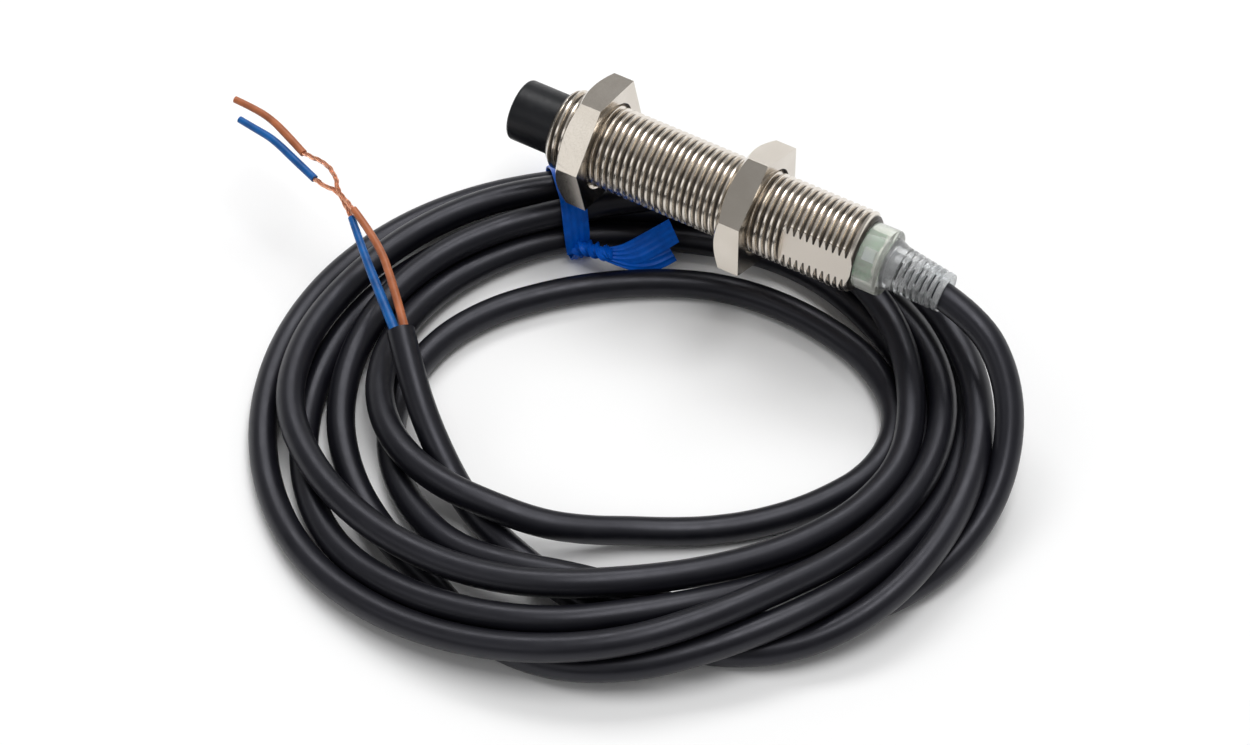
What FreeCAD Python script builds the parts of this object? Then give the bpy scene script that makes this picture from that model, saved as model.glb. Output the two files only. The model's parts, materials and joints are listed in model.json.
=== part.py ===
import FreeCAD, Part
import math
import os

# Cylindrical inductive proximity sensor, M12 x 1, two-wire, not flush, with a fixed cable.
#
# Frame: origin at the centre of the sensing face, +X along the barrel towards the cable, +Z up,
# in millimetres. The barrel lies level on its coiled cable, and the cable lies on the plane
# FLOOR_Z. An angle "about X" is counted from +Z towards -Y.

V = FreeCAD.Vector
X_AXIS = V(1, 0, 0)
Z_AXIS = V(0, 0, 1)

# ---- Driving dimensions -----------------------------------------------------------------------

# Barrel and its thread
THREAD_R = 6.0
THREAD_PITCH = 1.0
THREAD_DEPTH = 0.541
CREST_HALF = 0.0625
ROOT_HALF = 0.125
THREAD_TURNS = 48
BARREL_X0 = 7.0
BARREL_X1 = BARREL_X0 + THREAD_TURNS * THREAD_PITCH
BORE_R = 4.5
FLAT_X0 = 44.4
FLAT_FROM_AXIS = 5.2
FLAT_ANGLE = 74.0

# Sensing cap, with its skirt pressed into the barrel
CAP_WALL = 0.8
CAP_INNER_R = 3.9
CAP_SKIRT_X1 = 12.0
CAP_EDGE_ROUND = 0.5

# Jam nuts, 17 mm across flats, chamfered on the side that faces the sensing cap
NUT_FLATS = 17.0
NUT_THICK = 4.0
NUT_BORE_R = THREAD_R + 0.05
NUT_BORE_CHAMFER = 0.45
NUT_CHAMFER_R = 8.3
NUT_CHAMFER_ANGLE = 30.0
FRONT_NUT_X0 = 10.4
FRONT_NUT_ANGLE = 14.0
REAR_NUT_X0 = 35.5
REAR_NUT_ANGLE = 1.0

# Pot core, bobbin and winding behind the cap's face
CORE_R = 3.75
CORE_LEN = 4.0
CORE_GROOVE_R0 = 1.5
CORE_GROOVE_R1 = 3.1
CORE_GROOVE_DEPTH = 3.0
BOBBIN_HUB_R = 1.8
BOBBIN_FLANGE = 0.25
BOBBIN_GAP = 0.1
WINDING_R = 2.85
WINDING_LEAD_R = 0.12
WINDING_LEAD_Y = 2.3
WINDING_LEAD_END = 1.0
HOLDER_R = 3.85
HOLDER_LEN = 4.0

# Circuit board, rolled about the barrel's axis, and what stands on it: (x, y) is where a
# component's front edge and middle are along and across the board
BOARD_ROLL = 36.0
BOARD_X0 = 7.0
BOARD_X1 = 57.0
BOARD_HALF_W = 3.4
BOARD_THICK = 0.8
OSCILLATOR = {"x0": 13.0, "length": 5.0, "width": 4.0, "height": 1.5}
TRANSISTOR = {"x0": 38.0, "length": 4.5, "width": 2.6, "height": 1.5}
DIODE = {"x0": 44.0, "length": 4.3, "width": 2.6, "height": 2.1, "below": True}
LED = {"x0": 55.2, "length": 1.6, "width": 1.8, "height": 1.1}
RESISTOR_SIZE = {"length": 1.25, "width": 2.0, "height": 0.5}
RESISTORS_AT = [(21, -1.6), (21, 1.6), (24, -1.6), (24, 1.6), (27, 0), (34, -1.2)]
CAPACITOR_SIZE = {"length": 1.25, "width": 2.0, "height": 0.9, "below": True}
CAPACITORS_AT = [(15, -1.5), (18, 1.5), (26, 0), (32, 1.2)]
SOLDER_SIZE = {"x0": 52.4, "length": 1.5, "width": 1.0, "height": 0.7, "below": True}
CORE_SPACING = 1.3
CORES_X = (54.0, 57.0)
RESIN_GAP = 0.2

# Rear cover
COVER_R = 4.8
COVER_X1 = 58.7
COVER_PLUG_X0 = 51.0
COVER_INNER_R = 3.6
COVER_END_WALL = 0.8
COVER_HOLE_R = 2.3
COVER_EDGE_ROUND = 0.35

# Strain relief, in its own frame: x = 0 where it leaves the cover, then leaned over by LEAN
RELIEF_LEN = 8.9
RELIEF_LEAN = 4.7
RELIEF_LEAN_ANGLE = 126.0
RELIEF_ROOT_R = 3.8
RELIEF_R0 = 3.35
RELIEF_R1 = 2.85
RELIEF_ROOT_LEN = 1.2
RELIEF_RINGS = 8
RELIEF_PITCH = 0.95
RELIEF_GROOVE = 0.46
RELIEF_GROOVE_DEPTH = 0.42
RELIEF_TRIM = 0.5
RELIEF_BORE_R = 2.05
RELIEF_MOUTH_R = 2.3
RELIEF_MOUTH_LEN = 3.2
SLOT_WIDTH = 0.35
SLOT_SPAN = 2.6
SLOT_STAGGER = 9.0

# Cable, its cores and their bare ends, and the ring crimped round it inside the cover
CABLE_R = 2.0
CLAMP_X0 = 57.2
CLAMP_LEN = 0.45
CLAMP_R = 2.5
CORE_WIRE_R = 0.6
STRANDS_R = 0.38

# Gap between sealed pieces that touch in the real sensor
FIT_GAP = 0.02

# The surface that the cable lies on, and the coil: an oval ring of loose turns
FLOOR_Z = -19.5
COIL_CENTRE = V(34.0, -29.4, FLOOR_Z)
COIL_TURN = 29.2
COIL_OUTER = (54.5, 45.5)
COIL_HOLE = (33.0, 19.5)
COIL_HOLE_OFFSET = V(2.0, 2.7, 0)
COIL_HEIGHT = 8.5

# Twist tie round the turns at the back left of the coil, in the coil's own plan axes
TIE_AT = V(-9.0, 37.0, 0)
TIE_TURN = 20.0
TIE_INNER_SIDE = -7.5
TIE_OUTER_SIDE = 8.9
TIE_TOP = 9.1
TIE_WIDTH = 4.0
TIE_THICK = 0.6
TIE_WIRE = 0.25
TIE_ROUND = 1.6
TIE_TWIST = {"x": (-0.8, 2.6), "y": (-11.2, -6.8), "z": (8.5, 9.2)}
TIE_END = {"x": (1.5, 12.0), "y": (-14.2, -9.8), "z": (8.65, 9.35)}

# ---- Routes, one point per bend ---------------------------------------------------------------

# From inside the strain relief, over the edge of the coil and down into its outermost turn
EXIT_ROUTE = [
    V(57.4, 0.11, 0.08),
    V(71.6, -0.76, -0.62),
    V(81.0, -6.4, -6.3),
    V(85.4, -17.2, -13.0),
    V(84.2, -30.3, -16.4),
    V(77.8, -42.0, -17.2),
]

# From under the front turns, up over the left side of the coil to the jacket's cut end
TAIL_ROUTE = [
    V(30.0, -56.5, -17.3),
    V(22.0, -53.3, -16.7),
    V(14.5, -48.8, -13.4),
    V(8.0, -43.7, -9.6),
    V(2.6, -37.9, -7.5),
]

BROWN_LEAD_ROUTE = [
    V(3.1, -37.5, -7.4),
    V(-4.4, -29.6, -5.4),
    V(-12.2, -24.4, -4.4),
    V(-16.3, -22.3, -3.8),
]
BROWN_STRANDS_ROUTE = [
    V(-16.3, -22.3, -3.8),
    V(-18.9, -20.3, -3.5),
    V(-21.3, -19.4, -3.3),
    V(-24.3, -19.5, -3.5),
]
BROWN_SLUG_ROUTE = [
    V(-24.3, -19.5, -3.5),
    V(-31.7, -16.6, -3.0),
    V(-38.6, -16.0, -3.0),
]
BLUE_LEAD_ROUTE = [
    V(2.1, -38.4, -7.6),
    V(-7.3, -30.2, -6.4),
    V(-12.6, -25.8, -5.8),
    V(-16.6, -22.6, -5.3),
]
BLUE_STRANDS_ROUTE = [
    V(-16.6, -22.6, -5.3),
    V(-18.7, -22.9, -4.9),
    V(-20.7, -22.8, -4.6),
]
BLUE_SLUG_ROUTE = [
    V(-20.7, -22.8, -4.6),
    V(-29.8, -19.6, -3.9),
    V(-36.2, -18.1, -4.0),
]

PARTS = {}


# ---- Helpers ----------------------------------------------------------------------------------

def turned(outline):
    """A closed (x, r) outline revolved about the X axis."""
    points = [V(x, r, 0) for x, r in outline]
    face = Part.Face(Part.makePolygon(points + [points[0]]))
    return face.revolve(V(0, 0, 0), X_AXIS, 360)


def ring(x0, x1, r_in, r_out):
    return turned([(x0, r_in), (x1, r_in), (x1, r_out), (x0, r_out)])


def rod(x0, x1, radius, y=0.0, z=0.0):
    return Part.makeCylinder(radius, x1 - x0, V(x0, y, z), X_AXIS)


def block(x0, x1, y0, y1, z0, z1):
    return Part.makeBox(x1 - x0, y1 - y0, z1 - z0, V(x0, y0, z0))


def about_x(shape, angle):
    turned_shape = shape.copy()
    turned_shape.rotate(V(0, 0, 0), X_AXIS, angle)
    return turned_shape


def lean_relief(shape):
    """Moves a shape from the strain relief's own frame to the rear cover's end, leaned over."""
    placed = shape.copy()
    a = math.radians(RELIEF_LEAN_ANGLE)
    towards = V(0, -math.sin(a), math.cos(a))
    placed.rotate(V(0, 0, 0), X_AXIS.cross(towards), RELIEF_LEAN)
    placed.translate(V(COVER_X1, 0, 0))
    return placed


def on_coil(shape):
    """Moves a shape from the coil's plan axes to its place."""
    placed = shape.copy()
    placed.rotate(V(0, 0, 0), Z_AXIS, COIL_TURN)
    placed.translate(COIL_CENTRE)
    return placed


def rounded_path(points):
    """Straight runs joined by tangent arcs as large as the runs allow, and the arcs' radii."""
    edges = []
    radii = []
    start = points[0]
    for before, corner, after in zip(points, points[1:], points[2:]):
        run_in = corner - before
        run_out = after - corner
        cut = 0.45 * min(run_in.Length, run_out.Length)
        half_turn = run_in.getAngle(run_out) / 2
        radius = cut / math.tan(half_turn)
        arc_start = corner - run_in * (cut / run_in.Length)
        arc_end = corner + run_out * (cut / run_out.Length)
        inward = (run_out * (1 / run_out.Length) - run_in * (1 / run_in.Length)).normalize()
        middle = corner + inward * (radius / math.cos(half_turn) - radius)
        edges.append(Part.LineSegment(start, arc_start).toShape())
        edges.append(Part.Arc(arc_start, middle, arc_end).toShape())
        radii.append(round(radius, 1))
        start = arc_end
    edges.append(Part.LineSegment(start, points[-1]).toShape())
    return Part.Wire(edges), radii


def tube_along(name, points, radius):
    path, radii = rounded_path(points)
    section = Part.Wire(Part.Circle(points[0], points[1] - points[0], radius).toShape())
    tube = path.makePipeShell([section], True, False)
    expected = math.pi * radius ** 2 * path.Length
    print(f"{name}: length {path.Length:.1f}, arc radii {radii}, volume ratio {tube.Volume / expected:.4f}")
    return tube


# ---- Barrel, cap and nuts ---------------------------------------------------------------------

def make_barrel():
    root_r = THREAD_R - THREAD_DEPTH
    outline = [(BARREL_X0, BORE_R), (BARREL_X0, root_r)]
    half = THREAD_PITCH / 2
    for turn in range(THREAD_TURNS):
        crest_x = BARREL_X0 + half + turn * THREAD_PITCH
        outline += [
            (crest_x - half + ROOT_HALF, root_r),
            (crest_x - CREST_HALF, THREAD_R),
            (crest_x + CREST_HALF, THREAD_R),
            (crest_x + half - ROOT_HALF, root_r),
        ]
    outline += [(BARREL_X1, root_r), (BARREL_X1, BORE_R)]
    barrel = turned(outline)
    for side in (0, 180):
        waste = block(FLAT_X0, BARREL_X1 + 1, -THREAD_R, THREAD_R, FLAT_FROM_AXIS, THREAD_R + 1)
        barrel = barrel.cut(about_x(waste, FLAT_ANGLE + side))
    return barrel


def make_cap():
    cap = turned([
        (0, 0), (0, BORE_R), (CAP_SKIRT_X1, BORE_R),
        (CAP_SKIRT_X1, CAP_INNER_R), (CAP_WALL, CAP_INNER_R), (CAP_WALL, 0),
    ])
    rim = [e for e in cap.Edges if e.BoundBox.XMax < 0.01 and e.BoundBox.YLength > BORE_R]
    return cap.makeFillet(CAP_EDGE_ROUND, rim)


def make_nut(x0, angle):
    corner_r = NUT_FLATS / math.sqrt(3)
    corners = []
    for k in range(6):
        a = math.radians(60 * k)
        corners.append(V(x0, -corner_r * math.sin(a), corner_r * math.cos(a)))
    hexagon = Part.Face(Part.makePolygon(corners + [corners[0]]))
    nut = hexagon.extrude(V(NUT_THICK, 0, 0))
    drop = (corner_r + 1 - NUT_CHAMFER_R) * math.tan(math.radians(NUT_CHAMFER_ANGLE))
    x1 = x0 + NUT_THICK
    envelope = turned([
        (x0, 0), (x0, NUT_CHAMFER_R), (x0 + drop, corner_r + 1), (x1, corner_r + 1), (x1, 0),
    ])
    mouth_r = NUT_BORE_R + NUT_BORE_CHAMFER
    hole = turned([
        (x0, 0), (x0, mouth_r), (x0 + NUT_BORE_CHAMFER, NUT_BORE_R),
        (x1 - NUT_BORE_CHAMFER, NUT_BORE_R), (x1, mouth_r), (x1, 0),
    ])
    return about_x(nut.common(envelope).cut(hole), angle)


def make_housing():
    PARTS["barrel"] = make_barrel()
    PARTS["sensing_cap"] = make_cap()
    PARTS["front_nut"] = make_nut(FRONT_NUT_X0, FRONT_NUT_ANGLE)
    PARTS["rear_nut"] = make_nut(REAR_NUT_X0, REAR_NUT_ANGLE)


# ---- Coil, core and holder --------------------------------------------------------------------

def rolled(shape):
    return about_x(shape, BOARD_ROLL)


def board_slab():
    half = BOARD_THICK / 2
    return block(BOARD_X0, BOARD_X1, -BOARD_HALF_W, BOARD_HALF_W, -half, half)


def make_sensing_head():
    core_x1 = CAP_WALL + CORE_LEN
    groove_x1 = CAP_WALL + CORE_GROOVE_DEPTH
    lead_z = BOARD_THICK / 2 + WINDING_LEAD_R
    core = ring(CAP_WALL, core_x1, 0, CORE_R)
    core = core.cut(ring(CAP_WALL, groove_x1, CORE_GROOVE_R0, CORE_GROOVE_R1))
    holder = ring(core_x1, core_x1 + HOLDER_LEN, 0, HOLDER_R).cut(board_slab())
    leads = []
    for y in (-WINDING_LEAD_Y, WINDING_LEAD_Y):
        clearance_hole = rod(groove_x1, core_x1 + HOLDER_LEN, 2 * WINDING_LEAD_R, y, lead_z)
        core = core.cut(clearance_hole)
        holder = holder.cut(clearance_hole)
        leads.append(rod(groove_x1, core_x1 + HOLDER_LEN + WINDING_LEAD_END, WINDING_LEAD_R, y, lead_z))
    bobbin_x0 = CAP_WALL + BOBBIN_GAP
    bobbin_x1 = groove_x1
    flange_r = CORE_GROOVE_R1 - BOBBIN_GAP
    hub_in = CORE_GROOVE_R0 + BOBBIN_GAP
    bobbin = turned([
        (bobbin_x0, hub_in), (bobbin_x0, flange_r), (bobbin_x0 + BOBBIN_FLANGE, flange_r),
        (bobbin_x0 + BOBBIN_FLANGE, BOBBIN_HUB_R), (bobbin_x1 - BOBBIN_FLANGE, BOBBIN_HUB_R),
        (bobbin_x1 - BOBBIN_FLANGE, flange_r), (bobbin_x1, flange_r), (bobbin_x1, hub_in),
    ])
    winding = ring(bobbin_x0 + BOBBIN_FLANGE, bobbin_x1 - BOBBIN_FLANGE, BOBBIN_HUB_R, WINDING_R)
    PARTS["ferrite_core"] = rolled(core)
    PARTS["coil_bobbin"] = bobbin
    PARTS["coil_winding"] = winding
    PARTS["winding_leads"] = rolled(Part.makeCompound(leads))
    PARTS["core_holder"] = rolled(holder)


# ---- Circuit board and what is soldered to it -------------------------------------------------

def chip(x0, length, width, height, y=0.0, below=False):
    """A block on the board's top face, or on its lower face."""
    z0 = -BOARD_THICK / 2 - height if below else BOARD_THICK / 2
    return block(x0, x0 + length, y - width / 2, y + width / 2, z0, z0 + height)


def make_electronics():
    side_y = CORE_SPACING / 2
    wire_z = -BOARD_THICK / 2 - CORE_WIRE_R - FIT_GAP
    resistors = [chip(x, y=y, **RESISTOR_SIZE) for x, y in RESISTORS_AT]
    capacitors = [chip(x, y=y, **CAPACITOR_SIZE) for x, y in CAPACITORS_AT]
    solder = [chip(y=y, **SOLDER_SIZE) for y in (-side_y, side_y)]
    items = {
        "circuit_board": board_slab(),
        "oscillator_chip": chip(**OSCILLATOR),
        "output_transistor": chip(**TRANSISTOR),
        "suppression_diode": chip(**DIODE),
        "chip_resistors": Part.makeCompound(resistors),
        "chip_capacitors": Part.makeCompound(capacitors),
        "indicator_led": chip(**LED),
        "solder_joints": Part.makeCompound(solder),
        "brown_core_inside": rod(CORES_X[0], CORES_X[1], CORE_WIRE_R, side_y, wire_z),
        "blue_core_inside": rod(CORES_X[0], CORES_X[1], CORE_WIRE_R, -side_y, wire_z),
    }
    resin = rod(CAP_SKIRT_X1 + RESIN_GAP, COVER_PLUG_X0 - RESIN_GAP, BORE_R - FIT_GAP)
    for shape in items.values():
        resin = resin.cut(shape)
    items["potting_resin"] = resin
    for name, shape in items.items():
        PARTS[name] = rolled(shape)


# ---- Rear cover and strain relief -------------------------------------------------------------

def make_cover():
    end_wall_x = COVER_X1 - COVER_END_WALL
    cover = turned([
        (COVER_PLUG_X0, COVER_INNER_R), (COVER_PLUG_X0, BORE_R), (BARREL_X1, BORE_R),
        (BARREL_X1, COVER_R), (COVER_X1, COVER_R), (COVER_X1, COVER_HOLE_R),
        (end_wall_x, COVER_HOLE_R), (end_wall_x, COVER_INNER_R),
    ])
    at_end = [e for e in cover.Edges if e.BoundBox.XMin > COVER_X1 - 0.01]
    rim = [e for e in at_end if e.BoundBox.YLength > 2 * BORE_R]
    return cover.makeFillet(COVER_EDGE_ROUND, rim)


def make_strain_relief():
    outline = [(-RELIEF_TRIM, RELIEF_BORE_R), (-RELIEF_TRIM, RELIEF_ROOT_R)]
    outline += [(0, RELIEF_ROOT_R), (RELIEF_ROOT_LEN, RELIEF_R0)]
    for k in range(1, RELIEF_RINGS):
        x = RELIEF_ROOT_LEN + k * RELIEF_PITCH
        r = RELIEF_R0 + (RELIEF_R1 - RELIEF_R0) * k / RELIEF_RINGS
        half = RELIEF_GROOVE / 2
        outline += [(x - half, r), (x - half, r - RELIEF_GROOVE_DEPTH)]
        outline += [(x + half, r - RELIEF_GROOVE_DEPTH), (x + half, r)]
    outline += [
        (RELIEF_LEN, RELIEF_R1), (RELIEF_LEN, RELIEF_MOUTH_R),
        (RELIEF_LEN - RELIEF_MOUTH_LEN, RELIEF_BORE_R),
    ]
    relief = turned(outline)
    for k in range(1, RELIEF_RINGS):
        x = RELIEF_ROOT_LEN + k * RELIEF_PITCH
        half = SLOT_WIDTH / 2
        slot = block(x - half, x + half, -SLOT_SPAN / 2, SLOT_SPAN / 2, -RELIEF_ROOT_R, RELIEF_ROOT_R)
        stagger = SLOT_STAGGER if k % 2 else -SLOT_STAGGER
        relief = relief.cut(about_x(slot, BOARD_ROLL + stagger))
    return relief


def make_rear_end():
    PARTS["rear_cover"] = make_cover()
    behind_cover = rod(COVER_X1 - 2, COVER_X1, COVER_R)
    PARTS["strain_relief"] = lean_relief(make_strain_relief()).cut(behind_cover)
    clamp_x = CLAMP_X0 - COVER_X1
    clamp = ring(clamp_x, clamp_x + CLAMP_LEN, CABLE_R + FIT_GAP, CLAMP_R)
    PARTS["clamp_ring"] = lean_relief(clamp)


# ---- Cable, coil and leads --------------------------------------------------------------------

def oval_prism(half_axes, centre, height):
    curve = Part.Ellipse(centre, half_axes[0], half_axes[1])
    return Part.Face(Part.Wire(curve.toShape())).extrude(V(0, 0, height))


def tie_frame(inset, thickness, width):
    """A rounded rectangular frame round the tied turns, in the tie's own axes."""
    def rounded_box(grow, half):
        y0 = TIE_INNER_SIDE + grow
        y1 = TIE_OUTER_SIDE - grow
        box = block(-half, half, y0, y1, grow, TIE_TOP - grow)
        along = [e for e in box.Edges if e.BoundBox.XLength > half]
        return box.makeFillet(TIE_ROUND - grow, along)
    return rounded_box(inset, width / 2).cut(rounded_box(inset + thickness, width / 2 + 1))


def on_tie(shape):
    placed = shape.copy()
    placed.rotate(V(0, 0, 0), Z_AXIS, TIE_TURN)
    placed.translate(TIE_AT)
    return on_coil(placed)


def make_tie():
    wire = tie_frame((TIE_THICK - TIE_WIRE) / 2, TIE_WIRE, TIE_WIRE)
    twisted = block(*TIE_TWIST["x"], *TIE_TWIST["y"], *TIE_TWIST["z"])
    end = block(*TIE_END["x"], *TIE_END["y"], *TIE_END["z"])
    ribbon = tie_frame(0.0, TIE_THICK, TIE_WIDTH).fuse([twisted, end]).cut(wire)
    return on_tie(ribbon), on_tie(wire)


def make_cable():
    ribbon, wire = make_tie()
    coil = oval_prism(COIL_OUTER, V(0, 0, 0), COIL_HEIGHT)
    coil = coil.cut(oval_prism(COIL_HOLE, COIL_HOLE_OFFSET, COIL_HEIGHT))
    coil = on_coil(coil).cut(ribbon).cut(wire)
    PARTS["cable_exit"] = tube_along("cable_exit", EXIT_ROUTE, CABLE_R)
    PARTS["cable_coil"] = coil
    PARTS["cable_tail"] = tube_along("cable_tail", TAIL_ROUTE, CABLE_R)
    PARTS["twist_tie"] = ribbon
    PARTS["tie_wire"] = wire


def make_leads():
    for name, route, radius in (
        ("brown_lead", BROWN_LEAD_ROUTE, CORE_WIRE_R),
        ("blue_lead", BLUE_LEAD_ROUTE, CORE_WIRE_R),
        ("brown_strands", BROWN_STRANDS_ROUTE, STRANDS_R),
        ("blue_strands", BLUE_STRANDS_ROUTE, STRANDS_R),
        ("brown_slug", BROWN_SLUG_ROUTE, CORE_WIRE_R),
        ("blue_slug", BLUE_SLUG_ROUTE, CORE_WIRE_R),
    ):
        PARTS[name] = tube_along(name, route, radius)


def main():
    make_housing()
    make_sensing_head()
    make_electronics()
    make_rear_end()
    make_cable()
    make_leads()
    os.makedirs("parts", exist_ok=True)
    for name, shape in PARTS.items():
        shape.exportStep(f"parts/{name}.step")
        valid = "ok" if shape.isValid() else "INVALID"
        print(f"{name}: {len(shape.Solids)} solid(s), {shape.Volume:.2f} mm3, {valid}")


main()
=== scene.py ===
import json
import math

import bmesh
import bpy
import numpy as np
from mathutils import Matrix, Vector


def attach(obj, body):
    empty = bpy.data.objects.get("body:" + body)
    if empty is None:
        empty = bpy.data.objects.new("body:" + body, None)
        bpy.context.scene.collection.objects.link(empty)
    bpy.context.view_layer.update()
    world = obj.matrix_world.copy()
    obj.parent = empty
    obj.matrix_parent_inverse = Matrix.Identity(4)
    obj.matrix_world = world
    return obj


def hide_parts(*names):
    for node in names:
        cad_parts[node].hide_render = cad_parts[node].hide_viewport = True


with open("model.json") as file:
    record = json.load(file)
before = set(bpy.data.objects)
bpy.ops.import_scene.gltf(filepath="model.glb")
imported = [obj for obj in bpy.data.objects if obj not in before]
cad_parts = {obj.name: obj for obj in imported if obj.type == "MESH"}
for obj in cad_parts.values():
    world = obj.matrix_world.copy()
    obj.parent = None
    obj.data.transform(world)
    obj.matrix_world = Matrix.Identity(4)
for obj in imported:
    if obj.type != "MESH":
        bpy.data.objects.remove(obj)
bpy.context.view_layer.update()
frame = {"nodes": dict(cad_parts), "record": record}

# Shapes are in millimetres, and turned into metres where a mesh or curve is made. The camera and
# the lamps are placed in metres.
MM = 0.001

THREAD_R = 6.0
THREAD_ROOT_R = 5.459
BARREL_X0 = 7.0
THREAD_TURNS = 48
BARREL_X1 = BARREL_X0 + THREAD_TURNS
STEPS_PER_TURN = 144
BORE_R = 4.51
BORE_MOUTH_R = 4.75
BORE_MOUTH = 0.25
BORE_DEPTH = 4.0
END_CHAMFER_R = 5.25
FLAT_X0 = 44.4
FLAT_FROM_AXIS = 5.2
FLAT_ANGLE = 74.0

CABLE_R = 2.0
CORE_R = 0.6
FLOOR_Z = -19.5
FLOOR_GAP = 0.05

# The coil's centre and turn on the floor, the angle between its control points in degrees, and
# how much wider its control points lie than the turns that they shape
COIL_CENTRE = (34.0, -29.4)
COIL_TURN = math.radians(29.2)
CONTROL_STEP = 15.0
CONTROL_OUT = 0.35

# Turns that touch keep this gap. Points nearer than OWN_STRETCH along the cord are one strand.
STRAND_GAP = 0.06
OWN_STRETCH = 14.0

# Twist tie: where it goes round the turns, in the coil's plan axes, and its own turn
TIE_AT = (-9.0, 37.0)
TIE_TURN = math.radians(20.0)

# The tied turns lie within TIE_INSIDE across the tie, and from TIE_FLOOR to TIE_ROOM high
TIE_INSIDE = (-6.9, 8.3)
TIE_FLOOR = 0.55
TIE_ROOM = 8.5

# The cord counts as tied where it is this near to the tie: along the turns, across them and high
TIE_HALF_STRETCH = 3.2
TIE_REACH = (-9.0, 11.0)
TIE_TOP = 10.0

# The nuts sweep a cylinder about the barrel's axis, and the cable keeps out of it
SWEEP_R = 9.9
SWEEP_X = (4.0, 58.0)

# The camera's place in metres, its view's angles in degrees, and its focal length in millimetres
CAMERA_AT = (0.1918, -0.3133, 0.4090)
CAMERA_AZIMUTH = 29.17
CAMERA_ELEVATION = 52.0
CAMERA_LENS = 111.2

# The cord's route in millimetres: out of the strain relief and down beside the coil
EXIT_ROUTE = [
    (57.4, 0.11, 0.08),
    (71.6, -0.76, -0.62),
    (81.0, -6.4, -6.3),
    (85.4, -17.2, -13.0),
    (84.2, -30.3, -16.4),
    (77.8, -42.0, -17.2),
]

# The coil, clockwise seen from above: angle in degrees, radius, height of the middle above the floor
COIL_ROUTE = [
    (-60, 40.0, 2), (-75, 35.0, 2), (-90, 30.8, 2), (-105, 30.3, 3.5), (-120, 31.6, 5.5),
    (-135, 33.4, 3.5), (-150, 33.5, 2), (-180, 33.0, 2), (-210, 29.6, 2), (-240, 25.2, 2),
    (-270, 24.2, 2), (-300, 27.0, 2), (-330, 32.2, 2), (-345, 36.0, 2),
    (-360, 38.0, 2), (-375, 35.2, 2), (-390, 29.4, 2), (-420, 21.5, 2), (-450, 19.0, 2), (-480, 22.8, 3.5),
    (-500, 26.3, 6.2), (-517, 30.7, 5.6), (-540, 34.2, 5.8), (-570, 35.4, 2.5), (-600, 34.5, 2),
    (-616, 34.2, 2), (-645, 35.2, 2), (-670, 38.0, 2), (-690, 39.7, 2),
    (-720, 41.5, 2), (-750, 37.5, 2), (-765, 36.1, 3), (-780, 35.2, 4.5), (-810, 36.0, 5.5),
    (-825, 38.4, 5.5), (-845, 41.4, 6), (-870, 45.6, 2), (-900, 44.6, 2), (-930, 41.6, 2),
    (-960, 38.4, 2), (-976, 37.4, 2), (-1005, 37.6, 2.5), (-1050, 40.0, 4.5),
    (-1080, 39.4, 5.5), (-1100, 38.6, 6), (-1110, 36.6, 6), (-1140, 31.8, 5.5), (-1170, 31.3, 5.5),
    (-1200, 35.2, 5.5), (-1222, 39.2, 6), (-1245, 44.4, 6), (-1260, 47.2, 5.5), (-1290, 45.1, 3),
    (-1320, 42.2, 4), (-1336, 40.4, 5), (-1365, 39.8, 5), (-1395, 40.6, 5.5),
    (-1440, 43.1, 5.5), (-1470, 40.6, 5.5), (-1500, 38.5, 5.6), (-1530, 41.4, 5.5), (-1552, 43.8, 5.8),
    (-1570, 46.3, 4), (-1590, 49.6, 2), (-1620, 51.0, 2), (-1650, 49.5, 2), (-1680, 45.6, 2),
    (-1696, 43.4, 2), (-1725, 42.0, 2), (-1770, 44.3, 2),
    (-1800, 45.7, 2), (-1830, 44.2, 3), (-1845, 43.0, 5), (-1860, 42.1, 6), (-1875, 41.7, 6),
    (-1890, 42.5, 4.5), (-1905, 42.7, 3), (-1920, 41.2, 2), (-1937, 37.8, 2), (-1950, 38.4, 2),
    (-1980, 40.3, 2.5), (-2010, 39.6, 5.5), (-2040, 36.6, 5.6), (-2056, 35.4, 5.6), (-2085, 36.6, 5.5),
    (-2130, 43.4, 5.5),
    (-2160, 48.2, 5.5), (-2190, 48.0, 5.5), (-2203, 47.0, 6), (-2220, 43.9, 4), (-2235, 39.5, 2.5),
    (-2250, 34.0, 2), (-2265, 30.0, 2), (-2276, 28.0, 2),
]

# From under the front turns, up over the left side of the coil to the jacket's cut end
TAIL_ROUTE = [
    (30.0, -56.5, -17.3),
    (22.0, -53.3, -16.7),
    (14.5, -48.8, -13.4),
    (8.0, -43.7, -9.6),
    (2.6, -37.9, -7.5),
]

# The two leads from the jacket's end, their bare strands, and the insulation left on the ends
BROWN_LEAD_ROUTE = [
    (3.1, -37.5, -7.4),
    (-2.0, -32.2, -6.0),
    (-7.4, -27.4, -4.9),
    (-13.1, -24.5, -4.3),
]
BROWN_STRANDS_ROUTE = [
    (-13.0, -24.6, -4.3),
    (-15.0, -23.7, -4.0),
    (-16.6, -23.0, -3.9),
    (-17.9, -21.2, -3.7),
    (-20.2, -19.8, -3.5),
    (-22.3, -19.8, -3.3),
    (-24.3, -19.8, -3.3),
]
BROWN_SLUG_ROUTE = [
    (-24.2, -19.8, -3.3),
    (-28.0, -18.2, -3.0),
    (-31.6, -16.8, -2.9),
    (-35.0, -16.2, -3.0),
    (-38.1, -16.1, -3.0),
]
BLUE_LEAD_ROUTE = [
    (2.1, -38.4, -7.6),
    (-3.1, -34.0, -6.9),
    (-8.5, -29.4, -6.2),
    (-13.1, -25.1, -5.5),
]
BLUE_STRANDS_ROUTE = [
    (-13.0, -25.2, -5.5),
    (-15.1, -23.7, -4.9),
    (-16.6, -22.8, -4.5),
    (-17.6, -22.7, -4.4),
    (-19.0, -22.8, -4.4),
    (-21.0, -22.3, -4.4),
]
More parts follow.
